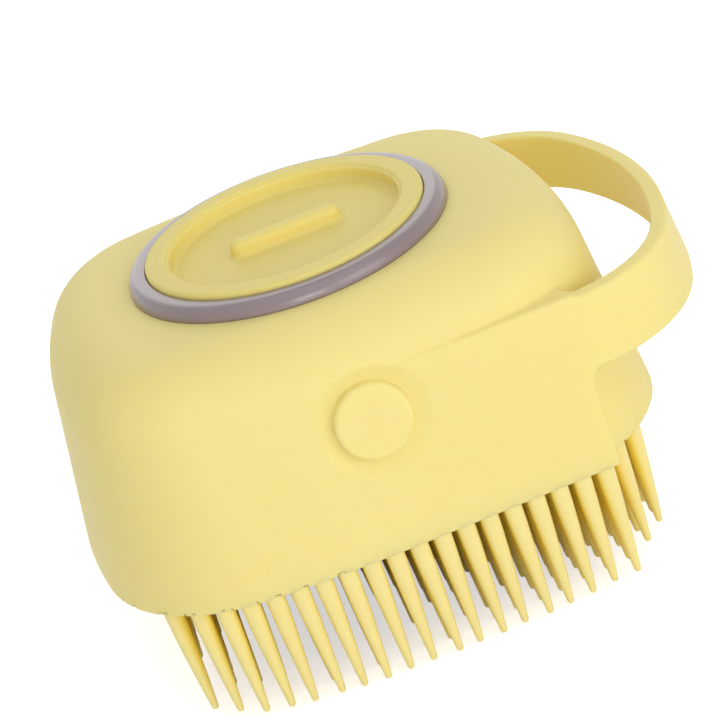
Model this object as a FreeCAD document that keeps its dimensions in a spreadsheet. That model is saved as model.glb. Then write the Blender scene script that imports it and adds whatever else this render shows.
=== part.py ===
import FreeCAD, Part
import math
import os

import Sketcher

# Silicone bathing and grooming brush with a shampoo reservoir.
#
# The row frame has +Z up, +X towards the finger strap, and its origin at the
# bottom centre of the whole brush, which stands on the tips of its bristles.
# Most pieces are drawn in the brush's own frame instead: Z = 0 is the plane
# where the bristles leave the base, and the Z axis runs through the middle of
# the filling mouth. place() then shifts each piece into the row frame.
# Lengths are in millimetres and angles in degrees.

SIZES = {
    # plan outline of the body at the root plane: four flat arcs, four corners
    "half_length": 44.3,
    "half_width": 38.5,
    "end_radius": 100.0,
    "side_radius": 180.0,
    "corner_radius": 22.7,
    # body section
    "draft_angle": 9.5,
    "top_height": 33.7,
    "shoulder_radius": 11.0,
    "wall": 3.2,
    "roof": 3.0,
    "cavity_floor": 4.0,
    "ceiling_radius": 7.5,
    "floor_radius": 4.0,
    "mouth_radius": 22.0,
    "slice_thickness": 1.5,
    # finger strap, drawn at the root plane and leaning in with the body's draft
    "strap_reach": 58.2,
    "strap_end_radius": 62.0,
    "strap_corner_radius": 25.0,
    "strap_thickness": 2.4,
    "strap_low": 14.0,
    "strap_top": 24.5,
    "strap_edge": 0.6,
    "panel_end": 30.3,
    "panel_seat": 1.6,
    "panel_corner": 2.5,
    # round buttons on the two side walls
    "button_height": 19.0,
    "button_radius": 5.5,
    "button_rise": 1.0,
    "button_edge": 0.6,
    "recess_radius": 6.1,
    "recess_depth": 0.9,
    # bristles: tapered strands of four sides; the longest, in the middle columns,
    # are cut flat where the brush stands, and the ends' columns are a little shorter
    "bristle_pitch": 3.5,
    "bristle_columns": 21,
    "bristle_length": 19.9,
    "standing_cut": 0.5,
    "end_drop_left": 1.1,
    "end_drop_right": 1.9,
    "bristle_root": 1.2,
    "bristle_middle": 1.02,
    "bristle_tip": 0.5,
    "bristle_middle_depth": 10.0,
    "bristle_inset": 0.06,
    "bristle_sink": 0.6,
    "clearing_radius": 6.5,
    "clearing_length": 10.5,
    "clearing_width": 14.0,
    # collar that stiffens the filling mouth
    "collar_foot": 24.6,
    "collar_foot_height": 0.7,
    "collar_crown": 23.0,
    "collar_height": 2.8,
    "collar_edge": 0.4,
    "collar_seat_radius": 21.7,
    "collar_seat_height": 1.2,
    "collar_bore": 19.8,
    "collar_flange": 23.2,
    "collar_flange_depth": 1.6,
    # plug lid
    "lid_rim_radius": 21.4,
    "lid_edge": 0.5,
    "lid_dish_radius": 18.6,
    "lid_dish_flare": 0.5,
    "lid_gap": 0.1,
    "lid_plate": 1.5,
    "lid_dish_depth": 2.6,
    "lid_plug_radius": 19.3,
    "lid_plug_wall": 1.6,
    "lid_plug_depth": 3.2,
    "lid_lead_in": 0.5,
    "lid_rib": 0.3,
    "lid_rib_height": 1.6,
    "lid_rib_half": 0.4,
    "tab_length": 17.0,
    "tab_thickness": 3.0,
    "tab_drop": 0.3,
    "tab_sink": 0.2,
    "tab_edge": 1.2,
    # slit valve in the middle of the base
    "valve_radius": 4.0,
    "valve_flange_radius": 6.0,
    "valve_flange": 1.0,
    "valve_bore": 2.8,
    "valve_membrane": 0.7,
    "valve_dome": 0.6,
    "slit_length": 4.6,
    "slit_width": 0.4,
}

SLOPE = "tan(Sizes.draft_angle * 1deg)"
FAR_OUT = 90.0          # longer than anything a cutting shape has to pass
VECTOR = FreeCAD.Vector

doc = FreeCAD.newDocument("grooming_brush")
sheet = doc.addObject("Spreadsheet::Sheet", "Sizes")
for row, (alias, number) in enumerate(SIZES.items(), start=1):
    sheet.set("A%d" % row, alias)
    sheet.set("B%d" % row, str(number))
    sheet.setAlias("B%d" % row, alias)
doc.recompute()

parts = {}              # node name to the document object that is exported


# ---------------------------------------------------------------- helpers

def value(expression):
    """The number that an expression on the sheet comes to."""
    result = sheet.evalExpression(str(expression))
    return float(getattr(result, "Value", result))


def bind(item, prop, expression):
    item.setExpression(prop, str(expression))


def new_body(label):
    body = doc.addObject("PartDesign::Body", label)
    body.Label = label
    return body


def place(item):
    """Shift a piece from the brush's own frame into the row frame."""
    lowest_strap = "(Sizes.strap_reach - Sizes.strap_low * %s)" % SLOPE
    bind(item, ".Placement.Base.x", "(Sizes.half_length - %s) / 2" % lowest_strap)
    bind(item, ".Placement.Base.z", "Sizes.bristle_length - Sizes.standing_cut")


def keep(name, item):
    item.Label = name
    parts[name] = item
    return item


def new_sketch(body, name, role, offset="0", turn=0.0):
    """A sketch on one of the body's origin planes, moved along its normal."""
    planes = [item for item in body.Origin.OriginFeatures if item.Role == role]
    sketch = body.newObject("Sketcher::SketchObject", name)
    sketch.AttachmentSupport = [(planes[0], "")]
    sketch.MapMode = "FlatFace"
    spin = FreeCAD.Rotation(VECTOR(1, 0, 0), turn)
    sketch.AttachmentOffset = FreeCAD.Placement(VECTOR(0, 0, value(offset)), spin)
    bind(sketch, ".AttachmentOffset.Base.z", offset)
    return sketch


def constrain(sketch, kind, arguments, expression, name):
    """Add a dimension and tie it to the sheet."""
    index = sketch.addConstraint(Sketcher.Constraint(kind, *arguments, value(expression)))
    sketch.renameConstraint(index, name)
    bind(sketch, "Constraints." + name, expression)


def circle_sketch(body, name, role, radius, offset="0"):
    sketch = new_sketch(body, name, role, offset)
    circle = Part.Circle(VECTOR(0, 0, 0), VECTOR(0, 0, 1), value(radius))
    sketch.addGeometry(circle, False)
    sketch.addConstraint(Sketcher.Constraint("Coincident", 0, 3, -1, 1))
    constrain(sketch, "Radius", (0,), radius, "radius")
    return sketch


def polygon_sketch(body, name, role, corners, offset="0"):
    """A closed polygon whose corners are pairs of expressions."""
    sketch = new_sketch(body, name, role, offset)
    points = [VECTOR(value(x), value(y), 0) for x, y in corners]
    count = len(points)
    for index in range(count):
        line = Part.LineSegment(points[index], points[(index + 1) % count])
        sketch.addGeometry(line, False)
    for index in range(count):
        after = (index + 1) % count
        sketch.addConstraint(Sketcher.Constraint("Coincident", index, 2, after, 1))
    for index, (x, y) in enumerate(corners):
        pin_point(sketch, index, 1, "X", x, "corner_%d_x" % index)
        pin_point(sketch, index, 1, "Y", y, "corner_%d_y" % index)
    return sketch


def pin_point(sketch, item, end, direction, expression, name):
    """Hold one coordinate of a point, on an axis if it is zero."""
    if abs(value(expression)) < 1e-9:
        axis = -2 if direction == "X" else -1
        sketch.addConstraint(Sketcher.Constraint("PointOnObject", item, end, axis))
    else:
        constrain(sketch, "Distance" + direction, (item, end), expression, name)


def pad(body, name, sketch, length, taper=None, backwards=False, midplane=False):
    feature = body.newObject("PartDesign::Pad", name)
    feature.Profile = sketch
    bind(feature, "Length", length)
    feature.Reversed = backwards
    feature.Midplane = midplane
    if taper is not None:
        bind(feature, "TaperAngle", taper)
    doc.recompute()
    return feature


def pocket(body, name, sketch, length, taper=None, backwards=False, midplane=False):
    """A cut, checked because one that points away removes nothing."""
    doc.recompute()
    before = body.Shape.Volume
    feature = body.newObject("PartDesign::Pocket", name)
    feature.Profile = sketch
    bind(feature, "Length", length)
    feature.Reversed = backwards
    feature.Midplane = midplane
    if taper is not None:
        bind(feature, "TaperAngle", taper)
    doc.recompute()
    if not feature.Shape.Volume < before - 1e-3:
        raise RuntimeError(name + " removes nothing")
    return feature


def round_edges(body, name, radius, chosen):
    """Fillet the edges of the body's last feature that chosen() picks."""
    base = body.Tip
    names = ["Edge%d" % number for number, edge in enumerate(base.Shape.Edges, start=1)
             if chosen(edge)]
    if not names:
        raise RuntimeError(name + " finds no edge")
    feature = body.newObject("PartDesign::Fillet", name)
    feature.Base = (base, names)
    bind(feature, "Radius", radius)
    doc.recompute()
    if not feature.Shape.isValid():
        raise RuntimeError(name + " has an invalid shape")
    return feature


def revolve(body, name, sketch):
    feature = body.newObject("PartDesign::Revolution", name)
    feature.Profile = sketch
    feature.ReferenceAxis = (sketch, ["V_Axis"])
    feature.Angle = 360
    doc.recompute()
    return feature


def lies_at(height):
    """Picks the edges that lie in one horizontal plane."""
    level = value(height)

    def chosen(edge):
        box = edge.BoundBox
        return abs(box.ZMin - level) < 1e-4 and abs(box.ZMax - level) < 1e-4

    return chosen


# ---------------------------------------------------------------- outlines

def corner_centre(half_length, half_width, end_radius, side_radius, corner_radius):
    """Centre of the corner circle that touches an end circle and a side circle."""
    end_x = half_length - end_radius
    side_y = half_width - side_radius
    from_end = end_radius - corner_radius
    from_side = side_radius - corner_radius
    apart = math.hypot(end_x, side_y)
    along = (from_end ** 2 - from_side ** 2 + apart ** 2) / (2 * apart)
    across = math.sqrt(from_end ** 2 - along ** 2)
    step_x = -end_x / apart
    step_y = side_y / apart
    return (end_x + along * step_x - across * step_y,
            along * step_y + across * step_x)


def arc(centre_x, centre_y, radius, start, end):
    circle = Part.Circle(VECTOR(centre_x, centre_y, 0), VECTOR(0, 0, 1), radius)
    return Part.ArcOfCircle(circle, start, end)


def body_outline(body, name, height, inset):
    """The body's plan outline, drawn at a height and shrunk by an inset."""
    sketch = new_sketch(body, name, "XY_Plane", height)
    shrunk = {key: "(Sizes.%s - (%s))" % (key, inset)
              for key in ("half_length", "half_width", "end_radius", "side_radius",
                          "corner_radius")}
    length, width, end, side, corner = [value(text) for text in shrunk.values()]
    x, y = corner_centre(length, width, end, side, corner)
    low = math.atan2(y, x + end - length)
    high = math.atan2(y + side - width, x)
    half = math.pi
    sketch.addGeometry([
        arc(length - end, 0, end, -low, low),
        arc(x, y, corner, low, high),
        arc(0, width - side, side, high, half - high),
        arc(-x, y, corner, half - high, half - low),
        arc(end - length, 0, end, half - low, half + low),
        arc(-x, -y, corner, half + low, half + high),
        arc(0, side - width, side, half + high, 2 * half - high),
        arc(x, -y, corner, -high, -low),
    ], False)
    for index in range(8):
        after = (index + 1) % 8
        sketch.addConstraint(Sketcher.Constraint("Tangent", index, 2, after, 1))
    for index, axis in ((0, -1), (2, -2), (4, -1), (6, -2)):
        sketch.addConstraint(Sketcher.Constraint("PointOnObject", index, 3, axis))
    for first, second in ((0, 4), (2, 6), (1, 3), (3, 5), (5, 7)):
        sketch.addConstraint(Sketcher.Constraint("Equal", first, second))
    constrain(sketch, "Radius", (0,), shrunk["end_radius"], "end_radius")
    constrain(sketch, "Radius", (2,), shrunk["side_radius"], "side_radius")
    constrain(sketch, "Radius", (1,), shrunk["corner_radius"], "corner_radius")
    back = "%s - %s" % (shrunk["end_radius"], shrunk["half_length"])
    down = "%s - %s" % (shrunk["side_radius"], shrunk["half_width"])
    constrain(sketch, "DistanceX", (0, 3, -1, 1), back, "right_end")
    constrain(sketch, "DistanceX", (-1, 1, 4, 3), back, "left_end")
    constrain(sketch, "DistanceY", (2, 3, -1, 1), down, "far_side")
    constrain(sketch, "DistanceY", (-1, 1, 6, 3), down, "near_side")
    return sketch


def strap_corner(inset):
    """Centre of the strap's corner arc, which meets the flat side panel square on."""
    reach = value("Sizes.strap_reach") - inset
    end = value("Sizes.strap_end_radius") - inset
    corner = value("Sizes.strap_corner_radius") - inset
    y = value("Sizes.half_width") - inset - corner
    x = reach - end + math.sqrt((end - corner) ** 2 - y ** 2)
    return x, y


def strap_outline(body, name, height, inset, start):
    """A D shape: two straight sides, two corners and the end of the strap."""
    sketch = new_sketch(body, name, "XY_Plane", height)
    gap = value(inset)
    width = value("Sizes.half_width") - gap
    reach = value("Sizes.strap_reach") - gap
    end = value("Sizes.strap_end_radius") - gap
    corner = value("Sizes.strap_corner_radius") - gap
    x, y = strap_corner(gap)
    edge = value(start)
    turn = math.atan2(y, x - (reach - end))
    quarter = math.pi / 2
    sketch.addGeometry([
        Part.LineSegment(VECTOR(edge, -width, 0), VECTOR(x, -width, 0)),
        arc(x, -y, corner, -quarter, -turn),
        arc(reach - end, 0, end, -turn, turn),
        arc(x, y, corner, turn, quarter),
        Part.LineSegment(VECTOR(x, width, 0), VECTOR(edge, width, 0)),
        Part.LineSegment(VECTOR(edge, width, 0), VECTOR(edge, -width, 0)),
    ], False)
    for index in range(4):
        sketch.addConstraint(Sketcher.Constraint("Tangent", index, 2, index + 1, 1))
    sketch.addConstraint(Sketcher.Constraint("Coincident", 4, 2, 5, 1))
    sketch.addConstraint(Sketcher.Constraint("Coincident", 5, 2, 0, 1))
    sketch.addConstraint(Sketcher.Constraint("Horizontal", 0))
    sketch.addConstraint(Sketcher.Constraint("Vertical", 5))
    sketch.addConstraint(Sketcher.Constraint("Equal", 1, 3))
    sketch.addConstraint(Sketcher.Constraint("PointOnObject", 2, 3, -1))
    constrain(sketch, "Radius", (2,), "Sizes.strap_end_radius - (%s)" % inset, "end_radius")
    constrain(sketch, "Radius", (1,), "Sizes.strap_corner_radius - (%s)" % inset, "corner_radius")
    back = "Sizes.strap_end_radius - Sizes.strap_reach"
    constrain(sketch, "DistanceX", (2, 3, -1, 1), back, "end_centre")
    constrain(sketch, "DistanceY", (0, 1, -1, 1), "Sizes.half_width - (%s)" % inset, "width")
    pin_point(sketch, 5, 1, "X", start, "start")
    return sketch


# ---------------------------------------------------------------- silicone body

def seat_panels(body, name):
    """Flat seat on each side wall, where the strap's side panel lies."""
    for side, sign in (("near", "-"), ("far", "")):
        depth = "(Sizes.half_width - Sizes.panel_seat - %s * " + SLOPE + ")"
        outside = sign + "(Sizes.half_width + Sizes.panel_seat)"
        top = "Sizes.strap_top"
        sketch = polygon_sketch(body, "%s_%s_section" % (name, side), "YZ_Plane", [
            (sign + "(Sizes.half_width - Sizes.panel_seat)", "0"),
            (sign + depth % top, top),
            (outside, top),
            (outside, "0"),
        ])
        pocket(body, "%s_%s" % (name, side), sketch, "Sizes.panel_end", backwards=True)


def brush_form(label, bottom):
    """Solid outer form of the body: leaning walls, round shoulder, panel seats."""
    body = new_body(label)
    outline = body_outline(body, label + "_outline", bottom, "%s * %s" % (bottom, SLOPE))
    pad(body, label + "_block", outline, "Sizes.top_height - " + bottom,
        taper="-Sizes.draft_angle")
    round_edges(body, label + "_shoulder", "Sizes.shoulder_radius",
                lies_at("Sizes.top_height"))
    seat_panels(body, label + "_panel_seat")
    return body


def button_circle(body, name, side, radius, depth):
    """A circle square to the leaning side wall, a depth below its outer face."""
    sketch = circle_sketch(body, name, "XZ_Plane", radius)
    lean = value("Sizes.draft_angle")
    sign = 1 if side == "near" else -1
    turn = -lean if side == "near" else 180 + lean
    sketch.AttachmentOffset = FreeCAD.Placement(
        VECTOR(0, 0, 0), FreeCAD.Rotation(VECTOR(1, 0, 0), turn))
    wall = "(Sizes.half_width - Sizes.button_height * %s)" % SLOPE
    inward = "(%s) * cos(Sizes.draft_angle * 1deg)" % depth
    downward = "(%s) * sin(Sizes.draft_angle * 1deg)" % depth
    bind(sketch, ".AttachmentOffset.Base.y", "Sizes.button_height - " + downward)
    bind(sketch, ".AttachmentOffset.Base.z", "%d * (%s - %s)" % (sign, wall, inward))
    return sketch


def cut_button_recesses(body, name):
    for side in ("near", "far"):
        sketch = button_circle(body, "%s_%s" % (name, side), side,
                               "Sizes.recess_radius", "-Sizes.recess_depth")
        pocket(body, "%s_%s_cut" % (name, side), sketch, "Sizes.recess_depth * 2")


def make_brush_body():
    bottom = "Sizes.slice_thickness"
    body = brush_form("brush_body", bottom)

    # The middle of the base reaches the root plane between the bristle blocks.
    length = "Sizes.clearing_length / 2"
    width = "Sizes.clearing_width / 2"
    boss = polygon_sketch(body, "outlet_boss_plan", "XY_Plane", [
        ("-" + length, "-" + width), (length, "-" + width),
        (length, width), ("-" + length, width),
    ])
    pad(body, "outlet_boss", boss, bottom)

    # The reservoir follows the outer form at one wall thickness.
    floor = "Sizes.cavity_floor"
    ceiling = "Sizes.top_height - Sizes.roof"
    plan = body_outline(body, "reservoir_plan", floor,
                        "Sizes.wall + %s * %s" % (floor, SLOPE))
    pocket(body, "reservoir", plan, "%s - %s" % (ceiling, floor),
           taper="-Sizes.draft_angle", backwards=True)
    round_edges(body, "reservoir_ceiling", "Sizes.ceiling_radius", lies_at(ceiling))
    round_edges(body, "reservoir_floor", "Sizes.floor_radius", lies_at(floor))

    mouth = circle_sketch(body, "mouth_circle", "XY_Plane", "Sizes.mouth_radius",
                          "Sizes.top_height")
    pocket(body, "mouth", mouth, "Sizes.roof + 1")
    outlet = circle_sketch(body, "outlet_circle", "XY_Plane", "Sizes.valve_radius")
    pocket(body, "outlet", outlet, "Sizes.cavity_floor + 1", backwards=True)
    cut_button_recesses(body, "button_recess")
    place(body)
    return keep("brush_body", body)


# ---------------------------------------------------------------- finger strap

def strap_rim(edge):
    """Picks both rims of the band's top, its outer lower rim and the panels' free edges."""
    box = edge.BoundBox
    top = value("Sizes.strap_top")
    low = value("Sizes.strap_low")
    end = value("Sizes.panel_end")
    inside = value("Sizes.strap_thickness / 2 + Sizes.strap_low * %s" % SLOPE)
    on_top = box.ZLength < 1e-4 and abs(box.ZMin - top) < 1e-4
    on_underside = box.ZLength < 1e-4 and abs(box.ZMin - low) < 1e-4
    across = box.XLength < 1e-4
    hidden = box.YLength < 1e-4 and abs(box.YMin) < value("Sizes.half_width") - 10
    outer = (max(abs(box.YMin), abs(box.YMax)) > value("Sizes.half_width") - inside
             or box.XMax > value("Sizes.strap_reach") - inside)
    free_end = end - 1 < box.XMin and box.XMax < end + 1 and box.ZMax < low
    resting = box.ZMax < value("Sizes.slice_thickness") + 1e-4
    if across or hidden or resting:
        return False
    return on_top or (outer and (on_underside or free_end))


def make_finger_strap():
    """Band round the +X end, with the side panel that roots it on each wall."""
    bottom = "Sizes.slice_thickness"
    height = "Sizes.strap_top - " + bottom
    lean_in = "%s * %s" % (bottom, SLOPE)
    far = str(FAR_OUT)
    form = new_body("strap_form")
    outline = strap_outline(form, "strap_outline", bottom, lean_in, "-Sizes.half_length")
    pad(form, "strap_block", outline, height, taper="-Sizes.draft_angle")
    room = strap_outline(form, "finger_room_outline", bottom,
                         "Sizes.strap_thickness + " + lean_in, "-Sizes.half_length * 1.5")
    pocket(form, "finger_room", room, height, taper="-Sizes.draft_angle", backwards=True)
    behind = polygon_sketch(form, "behind_panels", "XY_Plane", [
        ("0", "-" + far), ("0", far), ("-" + far, far), ("-" + far, "-" + far),
    ])
    pocket(form, "panel_ends", behind, far, backwards=True)

    below = polygon_sketch(form, "under_band_section", "XZ_Plane", [
        ("Sizes.panel_end", "0"), (far, "0"),
        (far, "Sizes.strap_low"), ("Sizes.panel_end", "Sizes.strap_low"),
    ])
    pocket(form, "under_band", below, far + " * 2", midplane=True)

    def inner_corner(edge):
        box = edge.BoundBox
        return (box.XLength < 1e-4 and box.ZLength < 1e-4
                and abs(box.XMin - value("Sizes.panel_end")) < 1e-4
                and abs(box.ZMin - value("Sizes.strap_low")) < 1e-4)

    round_edges(form, "panel_corner", "Sizes.panel_corner", inner_corner)

    # The panels are solid from the band's outer face down to the body's wall.
    for side, sign in (("near", "-"), ("far", "")):
        depth = sign + "(Sizes.half_width - Sizes.strap_thickness / 2 - %s * " + SLOPE + ")"
        inside = sign + "(Sizes.half_width - Sizes.corner_radius / 2)"
        section = polygon_sketch(form, "panel_section_" + side, "YZ_Plane", [
            (depth % bottom, bottom), (depth % "Sizes.strap_top", "Sizes.strap_top"),
            (inside, "Sizes.strap_top"), (inside, bottom),
        ])
        pad(form, "panel_" + side, section, "Sizes.panel_end")
    round_edges(form, "strap_rims", "Sizes.strap_edge", strap_rim)
    cut_button_recesses(form, "strap_recess")
    place(form)

    envelope = brush_form("body_envelope", "0")
    place(envelope)
    strap = doc.addObject("Part::Cut", "finger_strap")
    strap.Base = form
    strap.Tool = envelope
    doc.recompute()
    return keep("finger_strap", strap)


def make_button(side):
    """Round button that stands in the recess with a groove around it."""
    name = "side_button_" + side
    body = new_body(name)
    sketch = button_circle(body, name + "_circle", side, "Sizes.button_radius",
                           "Sizes.recess_depth")
    pad(body, name + "_disc", sketch, "Sizes.recess_depth + Sizes.button_rise")
    outward = body.Tip.Shape.BoundBox
    reach = outward.YMin if side == "near" else outward.YMax

    def outer_rim(edge):
        box = edge.BoundBox
        return box.XLength > 1 and min(abs(box.YMin - reach), abs(box.YMax - reach)) < 0.3

    round_edges(body, name + "_edge", "Sizes.button_edge", outer_rim)
    place(body)
    return keep(name, body)


# ---------------------------------------------------------------- bristles

def outline_width(x):
    """Half width of the base at the root plane, at a distance x along the brush."""
    length, width, end, side, corner = [value("Sizes." + key) for key in (
        "half_length", "half_width", "end_radius", "side_radius", "corner_radius")]
    centre_x, centre_y = corner_centre(length, width, end, side, corner)
    touch = centre_x * side / (side - corner)
    if 0 <= x <= value("Sizes.panel_end"):
        return width
    if abs(x) <= touch:
        return width - side + math.sqrt(side ** 2 - x ** 2)
    return centre_y + math.sqrt(corner ** 2 - (abs(x) - centre_x) ** 2)


def bristle_roots():
    """Middle of each bristle, and whether it stands in the outer row."""
    pitch = value("Sizes.bristle_pitch")
    half = value("Sizes.bristle_root")
    reach = value("Sizes.bristle_columns - 1") / 2
    clear = value("Sizes.clearing_radius")
    roots = []
    for column in range(int(-reach), int(reach) + 1):
        x = column * pitch
        outer_side = x + half if x > 0 else x - half
        last = min(outline_width(x), outline_width(outer_side)) - half
        last -= value("Sizes.bristle_inset")
        rows = round(2 * last / pitch) + 1
        for row in range(rows):
            y = -last + 2 * last * row / (rows - 1)
            edge = row in (0, rows - 1) or abs(column) == int(reach)
            if math.hypot(x, y) > clear:
                roots.append((x, y, edge))
    return roots


def square(x, y, z, half):
    return [VECTOR(x + i * half, y + j * half, z) for i, j in ((-1, -1), (1, -1), (1, 1), (-1, 1))]


def stack(sections):
    """Closed solid through square sections, each side a flat four-sided face."""
    faces = [Part.Face(Part.makePolygon(ring + ring[:1])) for ring in (sections[0], sections[-1])]
    for lower, upper in zip(sections, sections[1:]):
        for index in range(4):
            after = (index + 1) % 4
            ring = [lower[index], lower[after], upper[after], upper[index]]
            faces.append(Part.Face(Part.makePolygon(ring + ring[:1])))
    solid = Part.Solid(Part.makeShell(faces))
    if solid.Volume < 0:
        solid.reverse()
    return solid


def bristle_length(x):
    """Length of the strands of one column: longest in the middle, shorter at both ends."""
    reach = value("Sizes.bristle_pitch * (Sizes.bristle_columns - 1) / 2")
    drop = value("Sizes.end_drop_right" if x > 0 else "Sizes.end_drop_left")
    return value("Sizes.bristle_length") - drop * (x / reach) ** 2


def bristle(x, y, seen):
    """One tapered strand, sunk a little into its backing and bulging if it is seen."""
    length = bristle_length(x)
    root = value("Sizes.bristle_root")
    middle = value("Sizes.bristle_middle")
    tip = value("Sizes.bristle_tip")
    bulge = value("Sizes.bristle_middle_depth / Sizes.bristle_length") * length
    stand = min(length, value("Sizes.bristle_length - Sizes.standing_cut"))
    sections = [(value("Sizes.bristle_sink"), root)]
    if seen:
        end = tip + (middle - tip) * (length - stand) / (length - bulge)
        sections += [(0, root), (-bulge, middle), (-stand, end)]
    else:
        end = tip + (root - tip) * (length - stand) / length
        sections += [(-stand, end)]
    return stack([square(x, y, z, half) for z, half in sections])


def make_bristles(roots, envelope):
    """Four blocks round the clearing, each strand fused to its slice of the base."""
    thickness = value("Sizes.slice_thickness")
    half_length = value("Sizes.clearing_length") / 2
    half_width = value("Sizes.clearing_width") / 2
    base = envelope.common(Part.makeBox(2 * FAR_OUT, 2 * FAR_OUT, thickness,
                                        VECTOR(-FAR_OUT, -FAR_OUT, 0)))
    width = value("Sizes.half_width")
    upper = value("Sizes.half_width - Sizes.slice_thickness * %s" % SLOPE)
    section = [VECTOR(0, -width, 0), VECTOR(0, width, 0),
               VECTOR(0, upper, thickness), VECTOR(0, -upper, thickness)]
    under_panels = Part.Face(Part.makePolygon(section + section[:1])).extrude(
        VECTOR(value("Sizes.panel_end"), 0, 0))
    base = base.fuse(under_panels).removeSplitter()
    regions = {
        "left": (-FAR_OUT, -half_length, -FAR_OUT, FAR_OUT),
        "right": (half_length, FAR_OUT, -FAR_OUT, FAR_OUT),
        "front": (-half_length, half_length, -FAR_OUT, -half_width),
        "rear": (-half_length, half_length, half_width, FAR_OUT),
    }
    for side, (x_low, x_high, y_low, y_high) in regions.items():
        cell = Part.makeBox(x_high - x_low, y_high - y_low, thickness, VECTOR(x_low, y_low, 0))
        backing = base.common(cell)
        strands = [bristle(x, y, edge) for x, y, edge in roots
                   if x_low < x < x_high and y_low < y < y_high]
        block = doc.addObject("Part::Feature", "bristles_" + side)
        block.Shape = backing.fuse(strands)
        place(block)
        keep("bristles_" + side, block)
        print(block.Label, len(strands), "strands")


# ---------------------------------------------------------------- mouth and lid

def make_collar():
    """Stiff ring clipped in the mouth: crown above the roof, flange below it."""
    body = new_body("mouth_collar")
    top = "Sizes.top_height"
    under = "(Sizes.top_height - Sizes.roof)"
    crown = "(Sizes.top_height + Sizes.collar_height)"
    seat = "(Sizes.top_height + Sizes.collar_seat_height)"
    low = "(%s - Sizes.collar_flange_depth)" % under
    profile = polygon_sketch(body, "collar_profile", "XZ_Plane", [
        ("Sizes.mouth_radius", under), ("Sizes.mouth_radius", top),
        ("Sizes.collar_foot", top), ("Sizes.collar_foot", top + " + Sizes.collar_foot_height"),
        ("Sizes.collar_crown", crown + " - Sizes.collar_edge"),
        ("Sizes.collar_crown - Sizes.collar_edge", crown),
        ("Sizes.collar_seat_radius + Sizes.collar_edge", crown),
        ("Sizes.collar_seat_radius", crown + " - Sizes.collar_edge"),
        ("Sizes.collar_seat_radius", seat), ("Sizes.collar_bore", seat),
        ("Sizes.collar_bore", low), ("Sizes.collar_flange", low),
        ("Sizes.collar_flange", under),
    ])
    revolve(body, "collar_ring", profile)
    place(body)
    return keep("mouth_collar", body)


def make_lid():
    """Plug lid: rim on the collar's seat, dished top, grip tab, sealing rib."""
    body = new_body("reservoir_lid")
    crown = "(Sizes.top_height + Sizes.collar_height)"
    under_rim = "(Sizes.top_height + Sizes.collar_seat_height + Sizes.lid_gap)"
    dish = "(%s - Sizes.lid_dish_depth)" % crown
    ceiling = "(%s - Sizes.lid_plate)" % dish
    low = "(%s - Sizes.lid_plug_depth)" % under_rim
    rib = "(%s + Sizes.lid_rib_height)" % low
    inner = "(Sizes.lid_plug_radius - Sizes.lid_plug_wall)"
    flare = "(Sizes.lid_dish_radius + Sizes.lid_dish_flare)"
    profile = polygon_sketch(body, "lid_profile", "XZ_Plane", [
        ("0", ceiling), ("0", dish), ("Sizes.lid_dish_radius", dish),
        (flare, crown + " - Sizes.lid_edge"), (flare + " + Sizes.lid_edge", crown),
        ("Sizes.lid_rim_radius - Sizes.lid_edge", crown),
        ("Sizes.lid_rim_radius", crown + " - Sizes.lid_edge"),
        ("Sizes.lid_rim_radius", under_rim), ("Sizes.lid_plug_radius", under_rim),
        ("Sizes.lid_plug_radius", rib + " + Sizes.lid_rib_half"),
        ("Sizes.lid_plug_radius + Sizes.lid_rib", rib),
        ("Sizes.lid_plug_radius", rib + " - Sizes.lid_rib_half"),
        ("Sizes.lid_plug_radius", low + " + Sizes.lid_lead_in"),
        ("Sizes.lid_plug_radius - Sizes.lid_lead_in", low), (inner, low), (inner, ceiling),
    ])
    revolve(body, "lid_plug", profile)
    length = "Sizes.tab_length / 2"
    thickness = "Sizes.tab_thickness / 2"
    plan = polygon_sketch(body, "tab_plan", "XY_Plane", [
        ("-" + length, "-" + thickness), (length, "-" + thickness),
        (length, thickness), ("-" + length, thickness),
    ], dish + " - Sizes.tab_sink")
    pad(body, "grip_tab", plan, "Sizes.lid_dish_depth - Sizes.tab_drop + Sizes.tab_sink")
    tab_top = "%s - Sizes.tab_drop" % crown
    round_edges(body, "grip_tab_edge", "Sizes.tab_edge", lies_at(tab_top))
    place(body)
    return keep("reservoir_lid", body)


def make_valve():
    """Moulded plug with a crossed slit, held by a flange inside the reservoir."""
    body = new_body("outlet_valve")
    floor = "Sizes.cavity_floor"
    profile = polygon_sketch(body, "valve_profile", "XZ_Plane", [
        ("0", "-Sizes.valve_dome"), ("Sizes.valve_bore", "-Sizes.valve_dome"),
        ("Sizes.valve_radius", "0"), ("Sizes.valve_radius", floor),
        ("Sizes.valve_flange_radius", floor),
        ("Sizes.valve_flange_radius", floor + " + Sizes.valve_flange"),
        ("Sizes.valve_bore", floor + " + Sizes.valve_flange"),
        ("Sizes.valve_bore", "Sizes.valve_membrane - Sizes.valve_dome"),
        ("0", "Sizes.valve_membrane - Sizes.valve_dome"),
    ])
    revolve(body, "valve_plug", profile)
    long_half = "Sizes.slit_length / 2"
    thin_half = "Sizes.slit_width / 2"
    for name, x, y in (("slit_along", long_half, thin_half),
                       ("slit_across", thin_half, long_half)):
        plan = polygon_sketch(body, name + "_plan", "XY_Plane", [
            ("-" + x, "-" + y), (x, "-" + y), (x, y), ("-" + x, y),
        ], "-Sizes.valve_dome")
        pocket(body, name, plan, "Sizes.valve_membrane + Sizes.valve_dome", backwards=True)
    place(body)
    return keep("outlet_valve", body)


# ---------------------------------------------------------------- build, check, write

make_brush_body()
make_finger_strap()
make_button("near")
make_button("far")
outer_form = doc.getObject("body_envelope").Tip.Shape
make_bristles(bristle_roots(), outer_form)
make_collar()
make_lid()
make_valve()
doc.recompute()

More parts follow.
